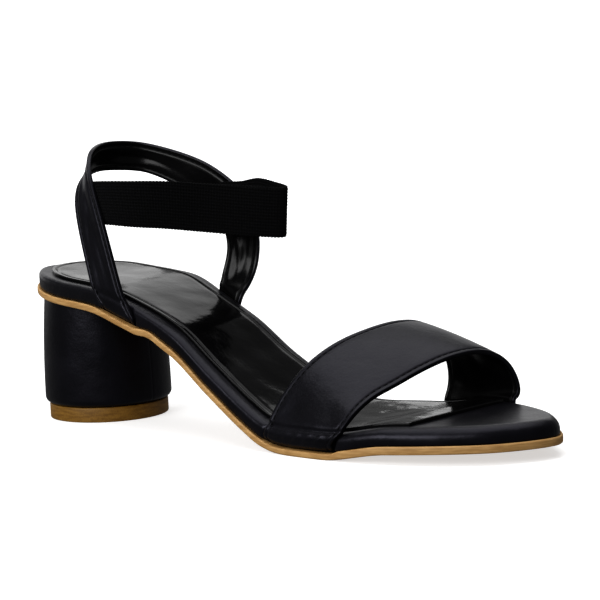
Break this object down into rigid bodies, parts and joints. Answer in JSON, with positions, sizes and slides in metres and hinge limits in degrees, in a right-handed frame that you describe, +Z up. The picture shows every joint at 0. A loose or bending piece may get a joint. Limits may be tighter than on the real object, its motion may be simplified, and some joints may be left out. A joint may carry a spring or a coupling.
{
  "type": "block heel sandal",
  "caption": "Black open-toe sandal on a round leather-covered block heel, with a wide toe strap, a narrow ankle strap and an elastic across the ankle.",
  "frame": {"origin": "middle of the top lift's underside, where the heel meets the floor", "axes": "+X toward the toe, +Y toward the inner side of the foot, +Z up"},
  "size_m": [0.2497, 0.0812, 0.1122],
  "materials": {
    "outsole_rubber": "satin",
    "lift_rubber": "satin",
    "black_leather": "satin",
    "glossy_lining": "gloss",
    "black_elastic": "matt"
  },
  "bodies": {
    "root": {"outsole": "outsole_rubber", "platform": "black_leather", "sock_lining": "glossy_lining", "heel_block": "black_leather", "top_lift": "lift_rubber", "toe_strap": "black_leather", "ankle_strap": "black_leather", "elastic_band": "black_elastic"}
  },
  "joints": []
}
